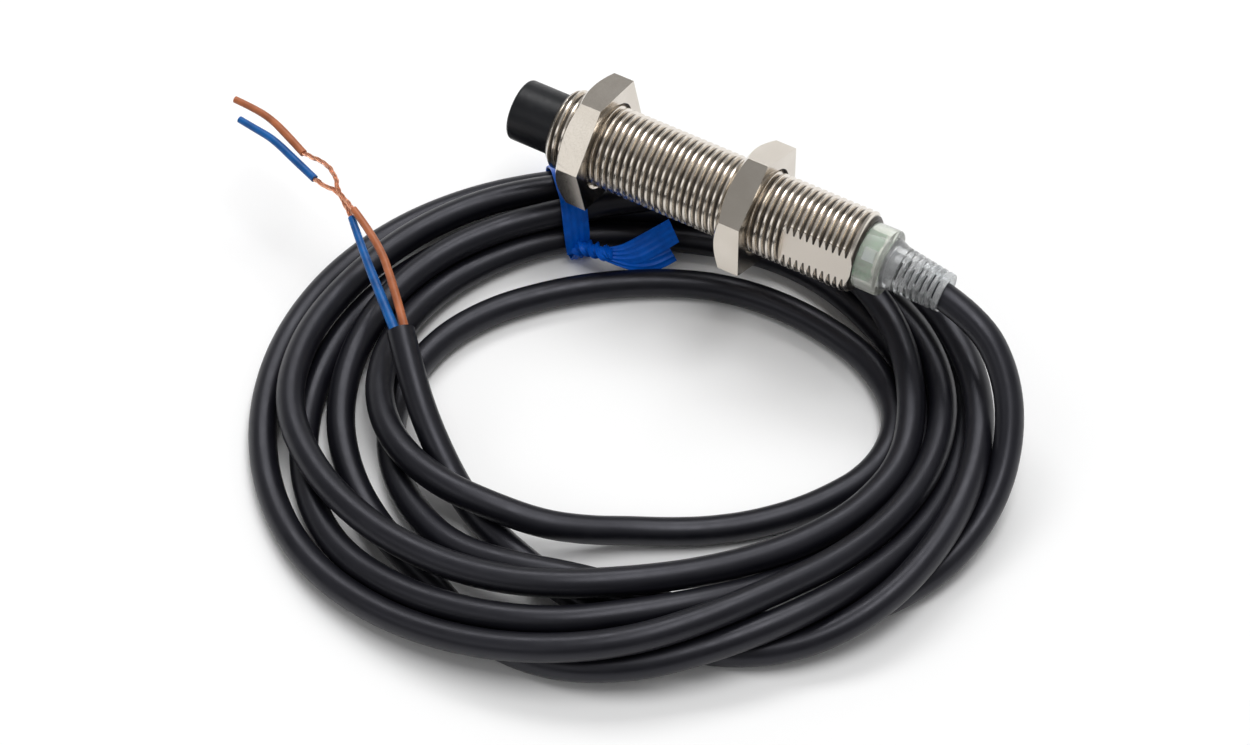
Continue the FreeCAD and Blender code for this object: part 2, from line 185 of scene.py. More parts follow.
BLUE_SLUG_ROUTE = [
    (-20.9, -22.3, -4.4),
    (-24.8, -21.0, -4.1),
    (-29.7, -19.2, -3.9),
    (-32.9, -18.8, -3.9),
    (-36.0, -18.3, -4.0),
]

# How thick the insulation is at each point of its route, as a share of CORE_R
BROWN_LEAD_WIDTHS = (1.05, 1.0, 0.95, 0.88)
BROWN_SLUG_WIDTHS = (0.92, 1.0, 0.9, 0.86, 0.84)
BLUE_LEAD_WIDTHS = (1.22, 1.18, 1.0, 0.88)
BLUE_SLUG_WIDTHS = (0.95, 1.0, 0.95, 0.88, 0.84)


# ---- Materials --------------------------------------------------------------------------------

class Shader:
    """A material with one Principled shader, and short ways to add nodes to it."""

    def __init__(self, name, **sockets):
        self.material = bpy.data.materials.new(name)
        self.material.use_nodes = True
        self.tree = self.material.node_tree
        self.tree.nodes.clear()
        output = self.node("ShaderNodeOutputMaterial")
        self.bsdf = self.node("ShaderNodeBsdfPrincipled")
        self.link(self.bsdf.outputs[0], output.inputs["Surface"])
        self.place = self.node("ShaderNodeTexCoord").outputs["Object"]
        for socket, value in sockets.items():
            self.bsdf.inputs[socket.replace("_", " ")].default_value = value

    def node(self, kind, **settings):
        made = self.tree.nodes.new(kind)
        for key, value in settings.items():
            setattr(made, key, value)
        return made

    def link(self, output, socket):
        self.tree.links.new(output, socket)

    def noise(self, scale, detail=3.0, roughness=0.5):
        made = self.node("ShaderNodeTexNoise")
        made.inputs["Scale"].default_value = scale
        made.inputs["Detail"].default_value = detail
        made.inputs["Roughness"].default_value = roughness
        self.link(self.place, made.inputs["Vector"])
        return made.outputs["Fac"]

    def ramp(self, value, *stops):
        """Colour by a value, from stops of (value, colour)."""
        made = self.node("ShaderNodeValToRGB")
        elements = made.color_ramp.elements
        while len(elements) < len(stops):
            elements.new(0.5)
        for element, (at, colour) in zip(elements, stops):
            element.position = at
            element.color = (*colour, 1.0)
        self.link(value, made.inputs["Fac"])
        return made.outputs["Color"]

    def span(self, value, low, high, start=0.3, end=0.7):
        """A value from start to end, stretched to run from low to high."""
        made = self.node("ShaderNodeMapRange")
        made.inputs["From Min"].default_value = start
        made.inputs["From Max"].default_value = end
        made.inputs["To Min"].default_value = low
        made.inputs["To Max"].default_value = high
        self.link(value, made.inputs["Value"])
        return made.outputs["Result"]

    def math(self, operation, a, b):
        made = self.node("ShaderNodeMath", operation=operation)
        for socket, value in zip(made.inputs, (a, b)):
            if isinstance(value, (int, float)):
                socket.default_value = value
            else:
                self.link(value, socket)
        return made.outputs[0]

    def colour(self, output):
        self.link(output, self.bsdf.inputs["Base Color"])

    def roughness(self, output):
        self.link(output, self.bsdf.inputs["Roughness"])

    def bump(self, height, strength, distance):
        made = self.node("ShaderNodeBump")
        made.inputs["Strength"].default_value = strength
        made.inputs["Distance"].default_value = distance * MM
        self.link(height, made.inputs["Height"])
        self.link(made.outputs[0], self.bsdf.inputs["Normal"])


def from_axis(shader):
    """Distance from the barrel's axis, in millimetres."""
    parts = shader.node("ShaderNodeSeparateXYZ")
    shader.link(shader.place, parts.inputs[0])
    squares = [shader.math("MULTIPLY", parts.outputs[k], parts.outputs[k]) for k in (1, 2)]
    return shader.math("MULTIPLY", shader.math("SQRT", shader.math("ADD", *squares), 0.0), 1 / MM)


def on_flats(shader):
    """1 on the two wrench flats and 0 elsewhere on the barrel."""
    parts = shader.node("ShaderNodeSeparateXYZ")
    shader.link(shader.place, parts.inputs[0])
    angle = math.radians(FLAT_ANGLE)
    y = shader.math("MULTIPLY", parts.outputs["Y"], -math.sin(angle))
    z = shader.math("MULTIPLY", parts.outputs["Z"], math.cos(angle))
    height = shader.math("ABSOLUTE", shader.math("ADD", y, z), 0.0)
    flat = shader.math("GREATER_THAN", height, (FLAT_FROM_AXIS - 0.03) * MM)
    return shader.math("MULTIPLY", flat, shader.math("GREATER_THAN", parts.outputs["X"], FLAT_X0 * MM))


def nickel_thread():
    """Nickel plate, bright on the crests and dull down in the roots, with painted shade that darkens the
    roots.
    """
    s = Shader("nickel_thread", Metallic=1.0)
    # Painted shade: the colour darkens from bright_r down to dark_r, the shade deep in the thread's roots
    dark_r = 5.46
    bright_r = 5.69
    depth = s.span(from_axis(s), 0.0, 1.0, dark_r, bright_r)
    depth = s.math("ADD", depth, s.span(s.noise(420.0, 4.0), -0.08, 0.08))
    depth = s.math("MAXIMUM", s.math("MINIMUM", depth, 0.94), on_flats(s))
    s.colour(s.ramp(depth, (0.0, (0.060, 0.052, 0.045)), (0.5, (0.44, 0.40, 0.35)),
                    (0.94, (0.735, 0.68, 0.61)), (1.0, (0.93, 0.865, 0.785))))
    polish = s.math("ADD", s.math("MULTIPLY", depth, -0.20), s.span(s.noise(900.0), 0.35, 0.43))
    s.roughness(s.math("MAXIMUM", polish, s.math("MULTIPLY", on_flats(s), 0.58)))
    s.bump(s.noise(2600.0, 2.0), 0.06, 0.008)
    return s.material


def nickel_nut():
    """Bright nickel plate with a very fine grain."""
    s = Shader("nickel_nut", Metallic=1.0)
    patches = s.noise(150.0, 3.0)
    s.colour(s.ramp(patches, (0.32, (0.60, 0.55, 0.485)), (0.68, (0.66, 0.61, 0.545))))
    s.roughness(s.span(s.noise(5200.0, 2.0), 0.13, 0.24))
    s.bump(s.noise(6500.0, 1.0), 0.12, 0.004)
    return s.material


def moulded(name, dark, light, low, high, scale=1400.0):
    """Moulded plastic with a fine grain, from dark to light and with roughness from low to high."""
    s = Shader(name, Specular_IOR_Level=0.32)
    s.colour(s.ramp(s.noise(220.0, 4.0), (0.3, dark), (0.7, light)))
    s.roughness(s.span(s.noise(scale, 3.0), low, high))
    s.bump(s.noise(scale * 2.2, 2.0), 0.12, 0.02)
    return s.material


def milky_cover():
    s = Shader("milky_cover", Transmission_Weight=0.76, IOR=1.34)
    s.colour(s.ramp(s.noise(120.0, 2.0), (0.25, (0.88, 0.93, 0.85)), (0.75, (0.97, 0.965, 0.90))))
    s.roughness(s.span(s.noise(500.0, 3.0), 0.10, 0.18))
    s.bump(s.noise(420.0, 2.0), 0.05, 0.02)
    return s.material


def clear_relief():
    s = Shader("clear_relief", Transmission_Weight=0.8, IOR=1.40)
    s.colour(s.ramp(s.noise(300.0, 3.0), (0.3, (0.84, 0.87, 0.88)), (0.7, (0.94, 0.95, 0.95))))
    s.roughness(s.span(s.noise(900.0, 3.0), 0.14, 0.24))
    s.bump(s.noise(900.0, 3.0), 0.08, 0.02)
    return s.material


def cable_black():
    s = Shader("cable_black", Specular_IOR_Level=0.42, Specular_Tint=(0.90, 0.90, 1.0, 1.0))
    patches = s.noise(90.0, 5.0, 0.6)
    s.colour(s.ramp(patches, (0.3, (0.0030, 0.0030, 0.0050)), (0.7, (0.0062, 0.0062, 0.0092))))
    s.roughness(s.span(s.noise(420.0, 4.0), 0.33, 0.43))
    fine = s.math("ADD", s.noise(3000.0, 2.0), s.math("MULTIPLY", s.noise(160.0, 3.0), 1.6))
    s.bump(fine, 0.10, 0.05)
    return s.material


def insulation(name, dark, light):
    s = Shader(name, Specular_IOR_Level=0.35)
    s.colour(s.ramp(s.noise(500.0, 4.0), (0.3, dark), (0.7, light)))
    s.roughness(s.span(s.noise(1500.0, 3.0), 0.32, 0.46))
    s.bump(s.noise(2400.0, 3.0), 0.16, 0.02)
    return s.material


def tie_blue():
    s = Shader("tie_blue", Specular_IOR_Level=0.18)
    s.colour(s.ramp(s.noise(420.0, 5.0, 0.6), (0.3, (0.0, 0.080, 0.46)), (0.7, (0.0, 0.130, 0.68))))
    s.roughness(s.span(s.noise(900.0, 3.0), 0.26, 0.42))
    s.bump(s.noise(1300.0, 3.0), 0.25, 0.05)
    return s.material


def bare_metal(name, dark, light, low, high):
    s = Shader(name, Metallic=1.0)
    s.colour(s.ramp(s.noise(700.0, 4.0), (0.3, dark), (0.7, light)))
    s.roughness(s.span(s.noise(1800.0, 3.0), low, high))
    s.bump(s.noise(2880.0, 2.0), 0.15, 0.015)
    return s.material


def board_green():
    """Solder mask over a pattern of straight tracks."""
    s = Shader("board_green", Coat_Weight=0.3)
    tracks = s.node("ShaderNodeTexBrick")
    s.link(s.place, tracks.inputs["Vector"])
    tracks.inputs["Scale"].default_value = 420.0
    tracks.inputs["Mortar Size"].default_value = 0.03
    tracks.inputs["Color1"].default_value = (0.01, 0.22, 0.075, 1.0)
    tracks.inputs["Color2"].default_value = (0.015, 0.29, 0.10, 1.0)
    tracks.inputs["Mortar"].default_value = (0.03, 0.42, 0.16, 1.0)
    s.colour(tracks.outputs["Color"])
    s.roughness(s.span(s.noise(900.0), 0.25, 0.4))
    s.bump(tracks.outputs["Fac"], 0.2, 0.03)
    return s.material


MATERIALS = {
    "nickel_thread": nickel_thread(),
    "nickel_nut": nickel_nut(),
    "black_cap": moulded("black_cap", (0.0018, 0.0022, 0.0035), (0.0045, 0.005, 0.0075), 0.34, 0.46),
    "milky_cover": milky_cover(),
    "clear_relief": clear_relief(),
    "cable_black": cable_black(),
    "tie_blue": tie_blue(),
    "wire_brown": insulation("wire_brown", (0.31, 0.092, 0.034), (0.47, 0.152, 0.062)),
    "wire_blue": insulation("wire_blue", (0.0, 0.058, 0.225), (0.001, 0.115, 0.39)),
    "copper": bare_metal("copper", (0.72, 0.33, 0.19), (0.95, 0.52, 0.36), 0.22, 0.4),
    "steel": bare_metal("steel", (0.42, 0.42, 0.43), (0.62, 0.61, 0.60), 0.25, 0.45),
    "ferrite": moulded("ferrite", (0.02, 0.02, 0.022), (0.045, 0.045, 0.05), 0.55, 0.75, 900.0),
    "bobbin_white": moulded("bobbin_white", (0.72, 0.70, 0.64), (0.84, 0.82, 0.77), 0.4, 0.6),
    "board_green": board_green(),
    "chip_black": moulded("chip_black", (0.012, 0.012, 0.013), (0.03, 0.03, 0.032), 0.5, 0.7),
    "ceramic": moulded("ceramic", (0.36, 0.25, 0.14), (0.50, 0.37, 0.24), 0.35, 0.5),
    "led_clear": moulded("led_clear", (0.45, 0.58, 0.86), (0.86, 0.90, 0.98), 0.2, 0.3),
    "solder": bare_metal("solder", (0.55, 0.55, 0.56), (0.76, 0.76, 0.77), 0.2, 0.4),
    "resin": moulded("resin", (0.03, 0.025, 0.02), (0.07, 0.06, 0.05), 0.15, 0.3, 500.0),
}


# ---- Meshes and curves ------------------------------------------------------------------------

def finish_piece(piece, slot, *nodes):
    """Gives a new piece its material and its body, and hides the CAD nodes that it stands for."""
    piece.data.materials.append(MATERIALS[slot])
    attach(piece, "sensor")
    if nodes:
        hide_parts(*nodes)
    return piece


def add_object(name, data):
    made = bpy.data.objects.new(name, data)
    bpy.context.scene.collection.objects.link(made)
    return made


def mesh_piece(name, vertices, faces):
    """A mesh object from points in millimetres."""
    mesh = bpy.data.meshes.new(name)
    mesh.from_pydata([tuple(c * MM for c in v) for v in vertices], [], faces)
    mesh.validate()
    smooth_shading(mesh)
    return add_object(name, mesh)


def smooth_shading(mesh, sharp=35.0):
    """Smooth faces, with edges sharp where they meet at more than this angle in degrees."""
    mesh.shade_smooth()
    mesh.set_sharp_from_angle(angle=math.radians(sharp))


def nurbs_piece(name, points, radius, spans, sides, caps=True, widths=None):
    """One smooth NURBS spline whose control points are the route's points, in millimetres."""
    curve = bpy.data.curves.new(name, "CURVE")
    curve.dimensions = "3D"
    curve.resolution_u = spans
    spline = curve.splines.new("NURBS")
    spline.points.add(len(points) - 1)
    for point, place in zip(spline.points, points):
        point.co = (*(c * MM for c in place), 1.0)
    for point, width in zip(spline.points, widths or ()):
        point.radius = width
    spline.order_u = 3
    spline.use_endpoint_u = True
    curve.bevel_depth = radius * MM
    curve.bevel_resolution = sides
    curve.use_fill_caps = caps
    return add_object(name, curve)


def line_of(points, spans):
    """Points along the smooth line of a route, in millimetres."""
    route = nurbs_piece("route", points, 0.0, spans, sides=0, caps=False)
    bpy.context.view_layer.update()
    line = bpy.data.meshes.new_from_object(route)
    co = np.array([v.co for v in line.vertices], float) / MM
    bpy.data.objects.remove(route)
    return co


def frames_along(line):
    """Two normals at each point of a line, carried along without twisting."""
    tangent = np.gradient(line, axis=0)
    tangent /= np.linalg.norm(tangent, axis=1)[:, None]
    side = np.cross(tangent[0], (0.0, 0.0, 1.0))
    sides = []
    for t in tangent:
        side = side - (side @ t) * t
        side /= np.linalg.norm(side)
        sides.append(side)
    sides = np.array(sides)
    return sides, np.cross(tangent, sides)


def swept(name, *sweeps):
    """A mesh of closed sweeps, each an array of rings of points: (rings, points in a ring, 3)."""
    vertices = []
    faces = []
    for rings in sweeps:
        count, around = rings.shape[:2]
        base = len(vertices)
        end = base + (count - 1) * around
        vertices += [tuple(p) for ring in rings for p in ring]
        for a in range(base, end, around):
            for j in range(around):
                k = (j + 1) % around
                faces.append((a + j, a + k, a + around + k, a + around + j))
        faces.append(tuple(reversed(range(base, base + around))))
        faces.append(tuple(range(end, end + around)))
    return mesh_piece(name, vertices, faces)


# ---- Barrel with its thread -------------------------------------------------------------------

def thread_mesh():
    """A right-hand helical thread of 1 mm pitch, a little longer than the barrel."""
    around = STEPS_PER_TURN
    flank = [(0.16, 5.96), (0.22, 5.83), (0.28, 5.70), (0.34, 5.575), (0.39, THREAD_ROOT_R + 0.02)]
    rising = [(-x, r) for x, r in reversed(flank)]
    profile = [(-0.45, THREAD_ROOT_R)] + rising + [(-0.12, THREAD_R), (0.12, THREAD_R)] + flank
    width = len(profile)
    steps = (THREAD_TURNS + 3) * around
    vertices = []
    for s in range(steps):
        angle = 2 * math.pi * s / around
        start = BARREL_X0 - 1.0 + s / around
        for x, r in profile:
            vertices.append((start + x, r * math.cos(angle), r * math.sin(angle)))
    faces = []
    for s in range(steps - 1):
        a = s * width
        b = a + width
        for p in range(width - 1):
            faces.append((a + p, b + p, b + p + 1, a + p + 1))
        if s + 1 + around < steps:
            c = (s + around) * width
            d = c + width
            faces.append((a + width - 1, b + width - 1, d, c))
    return vertices, faces


def trim_thread(mesh):
    """Cuts the thread off at the barrel's ends, and turns the end chamfers."""
    bm = bmesh.new()
    bm.from_mesh(mesh)
    for x, side in ((BARREL_X0, -1.0), (BARREL_X1, 1.0)):
        everything = bm.verts[:] + bm.edges[:] + bm.faces[:]
        bmesh.ops.bisect_plane(
            bm, geom=everything, plane_co=(x, 0, 0), plane_no=(side, 0, 0), clear_outer=True)
    for v in bm.verts:
        from_end = min(v.co.x - BARREL_X0, BARREL_X1 - v.co.x)
        r = math.hypot(v.co.y, v.co.z)
        limit = END_CHAMFER_R + max(from_end, 0.0)
        if r > limit:
            v.co.y *= limit / r
            v.co.z *= limit / r
    return bm


def cut_flats(bm):
    """Presses the two wrench flats into the rear end."""
    angle = math.radians(FLAT_ANGLE)
    normal = np.array([-math.sin(angle), math.cos(angle)])
    for v in bm.verts:
        if v.co.x < FLAT_X0:
            continue
        height = v.co.y * normal[0] + v.co.z * normal[1]
        over = abs(height) - FLAT_FROM_AXIS
        if over > 0:
            v.co.y -= math.copysign(over, height) * normal[0]
            v.co.z -= math.copysign(over, height) * normal[1]


def close_ends(bm):
    """Turns each open end into a ring face, and joins the two by the bore."""
    rims = []
    for x, inward in ((BARREL_X0, 1.0), (BARREL_X1, -1.0)):
        edges = [e for e in bm.edges if e.is_boundary and abs(e.verts[0].co.x - x) < 0.01]
        steps = ((BORE_MOUTH_R, 0.0), (BORE_R, BORE_MOUTH), (BORE_R, BORE_DEPTH))
        for radius, depth in steps:
            made = bmesh.ops.extrude_edge_only(bm, edges=edges)["geom"]
            edges = [g for g in made if isinstance(g, bmesh.types.BMEdge)]
            for v in (g for g in made if isinstance(g, bmesh.types.BMVert)):
                r = math.hypot(v.co.y, v.co.z)
                v.co.x = x + inward * depth
                v.co.y *= radius / r
                v.co.z *= radius / r
        rims += edges
    bmesh.ops.bridge_loops(bm, edges=rims)


def make_barrel():
    vertices, faces = thread_mesh()
    mesh = bpy.data.meshes.new("threaded_barrel")
    mesh.from_pydata(vertices, [], faces)
    bm = trim_thread(mesh)
    cut_flats(bm)
    close_ends(bm)
    bmesh.ops.remove_doubles(bm, verts=bm.verts[:], dist=0.002)
    bmesh.ops.dissolve_degenerate(bm, edges=bm.edges[:], dist=0.001)
    bmesh.ops.recalc_face_normals(bm, faces=bm.faces[:])
    for v in bm.verts:
        v.co *= MM
    bm.to_mesh(mesh)
    bm.free()
    smooth_shading(mesh, 28.0)
    finish_piece(add_object("threaded_barrel", mesh), "nickel_thread", "barrel")


# ---- The cable's coil -------------------------------------------------------------------------

def on_plan(angle, radius):
    """X and Y of polar coordinates in the coil's plan axes, angle in radians."""
    a = angle + COIL_TURN
    return COIL_CENTRE[0] + radius * np.cos(a), COIL_CENTRE[1] + radius * np.sin(a)


def between(at, xs, ys):
    """A smooth curve through (xs, ys), read at each of at."""
    i = np.clip(np.searchsorted(xs, at) - 1, 0, len(xs) - 2)
    slope = np.gradient(ys, xs)
    h = xs[i + 1] - xs[i]
    t = (at - xs[i]) / h
    rise = ys[i + 1] - ys[i]
    shape = t * t * (3 - 2 * t)
    leaving = t * (1 - t) ** 2 * slope[i]
    arriving = t * t * (1 - t) * slope[i + 1]
    return ys[i] + rise * shape + h * (leaving - arriving)


def coil_points():
    """Control points of the coil's turns, before they have settled on each other."""
    knots = np.array(COIL_ROUTE, float)
    turned = -knots[:, 0]
    at = np.arange(turned[0], turned[-1] + 0.1, CONTROL_STEP)
    radius = between(at, turned, knots[:, 1]) + CONTROL_OUT
    height = np.maximum(between(at, turned, knots[:, 2]), CABLE_R + FLOOR_GAP)
    x, y = on_plan(-np.radians(at), radius)
    return np.stack([x, y, FLOOR_Z + height], axis=1)


def sampling(count, per_span=5):
    """Rows that turn control points into points on their quadratic B-spline."""
    rows = np.zeros(((count - 2) * per_span, count))
    t = (np.arange(per_span) + 0.5) / per_span
    share = np.stack([(1 - t) ** 2 / 2, 0.5 + t - t * t, t * t / 2], axis=1)
    for i in range(count - 2):
        rows[i * per_span:(i + 1) * per_span, i:i + 3] = share
    return rows


def tie_axes():
    """Centre of the tie on the floor plan, and its axes along and across the tied turns."""
    radius = math.hypot(*TIE_AT)
    centre = np.array(on_plan(math.atan2(TIE_AT[1], TIE_AT[0]), radius))
    turn = COIL_TURN + TIE_TURN
    along = np.array([math.cos(turn), math.sin(turn)])
    across = np.array([-math.sin(turn), math.cos(turn)])
    return centre, along, across


def push_out(line):
    """How far each point of the cord has to move to clear the floor, the nuts and the tie."""
    push = np.zeros_like(line)
    centre, along, across = tie_axes()
    place = line[:, :2] - centre
    u = place @ along
    w = place @ across
    beside = (np.abs(u) < TIE_HALF_STRETCH) & (w > TIE_REACH[0]) & (w < TIE_REACH[1])
    tied = beside & (line[:, 2] < FLOOR_Z + TIE_TOP)
    low, high = TIE_INSIDE[0] + CABLE_R, TIE_INSIDE[1] - CABLE_R
    push[:, :2] = np.where(tied, np.clip(w, low, high) - w, 0.0)[:, None] * across
    floor = FLOOR_Z + CABLE_R + np.where(tied, TIE_FLOOR, FLOOR_GAP)
    roof = FLOOR_Z + TIE_ROOM - CABLE_R
    push[:, 2] += np.where(tied, np.minimum(roof - line[:, 2], 0.0), 0.0)
    push[:, 2] += np.maximum(floor - line[:, 2], 0.0)
    under = (line[:, 0] > SWEEP_X[0]) & (line[:, 0] < SWEEP_X[1])
    from_barrel = np.hypot(line[:, 1], line[:, 2])
    short = np.where(under, np.maximum(SWEEP_R + CABLE_R - from_barrel, 0.0), 0.0)
    push[:, 1:] += short[:, None] * line[:, 1:] / np.maximum(from_barrel, 1e-6)[:, None]
    return push


def push_apart(line, pairs, distance):
    """How far points have to move so that strands lie on each other and not in each other."""
    push = np.zeros_like(line)
    count = np.zeros(len(line))
    a, b = pairs
    apart = line[a] - line[b]
    gap = np.linalg.norm(apart, axis=1)
    hit = gap < distance
    a, b, apart, gap = a[hit], b[hit], apart[hit], gap[hit]
    step = apart * (0.5 * (distance - gap) / np.maximum(gap, 1e-6))[:, None]
    np.add.at(push, a, step)
    np.add.at(push, b, -step)
    np.add.at(count, a, 1)
    np.add.at(count, b, 1)
    return push / np.maximum(count, 1)[:, None]


def neighbours(line, reach):
    """Pairs of points that are near in space and not along the cord."""
    run = np.concatenate([[0.0], np.cumsum(np.linalg.norm(np.diff(line, axis=0), axis=1))])
    gap = np.linalg.norm(line[:, None] - line[None], axis=2)
    along = np.abs(run[:, None] - run[None])
    return np.nonzero(np.triu((gap < reach) & (along > OWN_STRETCH)))


def settle(points, first, last):
    """Lets the turns from first to last sink until they rest on the floor and each other."""
    rounds = 460
    pairs_every = 20
    weight = 0.05
    least_weight = 0.004
    hold = 0.03
    stiffness = 0.25
    passes = 3
    overshoot = 1.3
    distance = 2 * CABLE_R + STRAND_GAP
    reach = distance + 3.0
    start = points.copy()
    points = points.copy()
    rows = sampling(len(points))
    back = rows.T / rows.sum(axis=0)[:, None]
    free = np.zeros((len(points), 1))
    free[first:last] = 1.0
    for i in range(rounds):
        if i % pairs_every == 0:
            pairs = neighbours(rows @ points, reach)
        points[:, 2:] -= (weight * (1 - i / rounds) + least_weight) * free
        points[:, :2] += hold * (start - points)[:, :2] * free
        moved = points - start
        stiff = np.zeros_like(points)
        stiff[1:-1, :2] = ((moved[:-2] + moved[2:]) / 2 - moved[1:-1])[:, :2]
        z = points[:, 2]
        stiff[2:-2, 2] = (4 * z[1:-3] + 4 * z[3:-1] - z[:-4] - z[4:]) / 6 - z[2:-2]
        points += stiffness * stiff * free
        for _ in range(passes):
            line = rows @ points
            push = push_apart(line, pairs, distance)
            push += push_out(line + push)
            points += overshoot * (back @ push) * free
    return points


def make_cable():
    points = np.concatenate([EXIT_ROUTE, coil_points(), TAIL_ROUTE])
    points = settle(points, len(EXIT_ROUTE), len(points) - len(TAIL_ROUTE))
    cable = nurbs_piece("cable", points, CABLE_R, spans=12, sides=12)
    return finish_piece(cable, "cable_black", "cable_exit", "cable_coil", "cable_tail")


# ---- Leads and their bare ends ----------------------------------------------------------------

def make_lead(name, points, widths, slot, node):
    lead = nurbs_piece(name, points, CORE_R, spans=12, sides=8, widths=widths)
    return finish_piece(lead, slot, node)


def make_strands(name, points, node, count=7, wire_r=0.105, lay=5.0):
    """Fine bare wires twisted along a route, one in the middle and the rest round it."""
    line = line_of(points, 14)
    side, up = frames_along(line)
    side = side[:, None]
    up = up[:, None]
    run = np.concatenate([[0.0], np.cumsum(np.linalg.norm(np.diff(line, axis=0), axis=1))])
    around = np.linspace(0, 2 * math.pi, 8, endpoint=False)[None, :, None]
    section = wire_r * (np.cos(around) * side + np.sin(around) * up)
    wires = []
    for wire in range(count):
        offset = 0.0 if wire == 0 else 2.15 * wire_r
        angle = 2 * math.pi * (wire / (count - 1) + run / lay)[:, None, None]
        loose = 1 + 0.25 * np.sin(3.1 * wire + run)[:, None, None]
        centre = line[:, None] + offset * loose * (np.cos(angle) * side + np.sin(angle) * up)
        wires.append(centre + section)
    return finish_piece(swept(name, *wires), "copper", node)


def make_leads():
    return [
        make_lead("brown_insulation", BROWN_LEAD_ROUTE, BROWN_LEAD_WIDTHS, "wire_brown", "brown_lead"),
        make_lead("blue_insulation", BLUE_LEAD_ROUTE, BLUE_LEAD_WIDTHS, "wire_blue", "blue_lead"),
        make_strands("brown_core_wires", BROWN_STRANDS_ROUTE, "brown_strands"),
        make_strands("blue_core_wires", BLUE_STRANDS_ROUTE, "blue_strands"),
        make_lead("brown_end_sleeve", BROWN_SLUG_ROUTE, BROWN_SLUG_WIDTHS, "wire_brown", "brown_slug"),
        make_lead("blue_end_sleeve", BLUE_SLUG_ROUTE, BLUE_SLUG_WIDTHS, "wire_blue", "blue_slug"),
    ]


# ---- Twist tie --------------------------------------------------------------------------------

def from_tie(points):
    """Points in the tie's axes (along the turns, across them, above the floor) as X, Y, Z."""
    centre, along, across = tie_axes()
    points = np.asarray(points, float)
    plan = centre + points[:, :1] * along + points[:, 1:2] * across
    return np.concatenate([plan, FLOOR_Z + points[:, 2:]], axis=1)


def ribbon(name, centres, edges, thick=0.28, ribs=4, rib=0.16):
    """A ribbed strip through centres, where edges are vectors from its middle to its left edge."""
    centres = np.asarray(centres, float)
    edges = np.asarray(edges, float)
    line = line_of(centres, 8)
    half = line_of(centres + edges, 8) - line
    tangent = np.gradient(line, axis=0)
    normal = np.cross(tangent, half)
    normal /= np.linalg.norm(normal, axis=1)[:, None]
    across = np.linspace(-1.0, 1.0, 4 * ribs + 5)
    height = thick / 2 + rib * (0.5 + 0.5 * np.cos(across * math.pi * ribs)) * (1 - across ** 6)
    rings = []
    for i in range(len(line)):
        top = line[i] + across[:, None] * half[i] + height[:, None] * normal[i]
        bottom = line[i] + across[::-1, None] * half[i] - 0.8 * height[::-1, None] * normal[i]
        rings.append(np.concatenate([top, bottom])[::-1])
    return swept(name, np.array(rings))


def tie_strip(points, edges):
    """A strip's middle line and edge vectors, turned from the tie's axes."""
    points = np.asarray(points, float)
    tips = points + np.asarray(edges, float)
    middle = from_tie(points)
    return middle, from_tie(tips) - middle


def twisted(name, points, turns=1.9, wide=1.15, thin=0.7):
    """The neck where the tie's two ends are twisted round each other."""
    line = line_of(from_tie(points), 14)
    side, up = frames_along(line)
    around = np.linspace(0, 2 * math.pi, 28, endpoint=False)
    rings = []
    for i in range(len(line)):
        spin = 2 * math.pi * turns * i / (len(line) - 1)
        lobes = 1 + 0.10 * np.cos(8 * around)
        a = wide * lobes * np.cos(around)
        b = thin * lobes * np.sin(around)
        x = a * math.cos(spin) - b * math.sin(spin)
        y = a * math.sin(spin) + b * math.cos(spin)
        rings.append(line[i] + x[:, None] * side[i] + y[:, None] * up[i])
    return swept(name, np.array(rings))


def make_tie():
    """The band round the turns, its twisted neck and its two flat ends."""
    band = [
        (-0.9, -7.3, 2.7), (-0.75, -7.0, 4.4), (-0.6, -5.8, 7.0), (-0.3, -4.3, 8.6), (0.2, -2.2, 9.1),
        (0.6, 0.8, 8.4), (1.1, 3.9, 7.8), (1.6, 6.3, 6.1), (1.8, 8.3, 4.3), (1.8, 8.95, 2.4),
        (1.7, 8.3, 0.5), (1.3, 6.0, 0.24), (0.7, 0.0, 0.24), (0.1, -4.5, 0.24), (-0.2, -6.9, 0.6),
        (-0.3, -7.5, 2.2), (-0.3, -7.6, 3.8),
    ]
    wide = [1.6, 1.85, 1.9] + [1.9] * 10 + [1.8, 1.6, 1.3, 1.0]
    edges = [(w, 0.0, 0.0) for w in wide]
    made = ribbon("tie_band", *tie_strip(band, edges))
    pieces = [finish_piece(made, "tie_blue", "twist_tie", "tie_wire")]
    neck = [(-0.9, -6.9, 3.3), (-0.1, -8.0, 4.3), (0.8, -9.4, 4.9), (1.7, -10.7, 5.4), (2.9, -11.7, 5.6)]
    pieces.append(finish_piece(twisted("tie_twist", neck), "tie_blue"))
    flag = [(1.7, -10.9, 5.5), (3.4, -11.9, 5.5), (6.1, -12.3, 5.4), (9.2, -11.9, 6.0), (12.2, -11.5, 6.8)]
    sides = [(0.3, 0.3, 0.7), (0.4, 0.4, 1.15), (0.1, 1.15, 1.6), (-0.2, 1.3, 1.4), (-0.3, 1.35, 1.15)]
    pieces.append(finish_piece(ribbon("tie_end_upper", *tie_strip(flag, sides)), "tie_blue"))
    flag = [(1.7, -11.0, 5.2), (3.6, -12.3, 4.8), (6.4, -13.1, 4.0), (9.0, -13.3, 4.0), (11.2, -13.0, 4.5)]
    sides = [(0.3, 0.3, 0.6), (0.2, 0.7, 0.9), (-0.1, 1.2, 1.2), (-0.3, 1.2, 1.3), (-0.5, 1.1, 1.2)]
    pieces.append(finish_piece(ribbon("tie_end_lower", *tie_strip(flag, sides)), "tie_blue"))
    return pieces


# ---- Carried-over CAD pieces ------------------------------------------------------------------

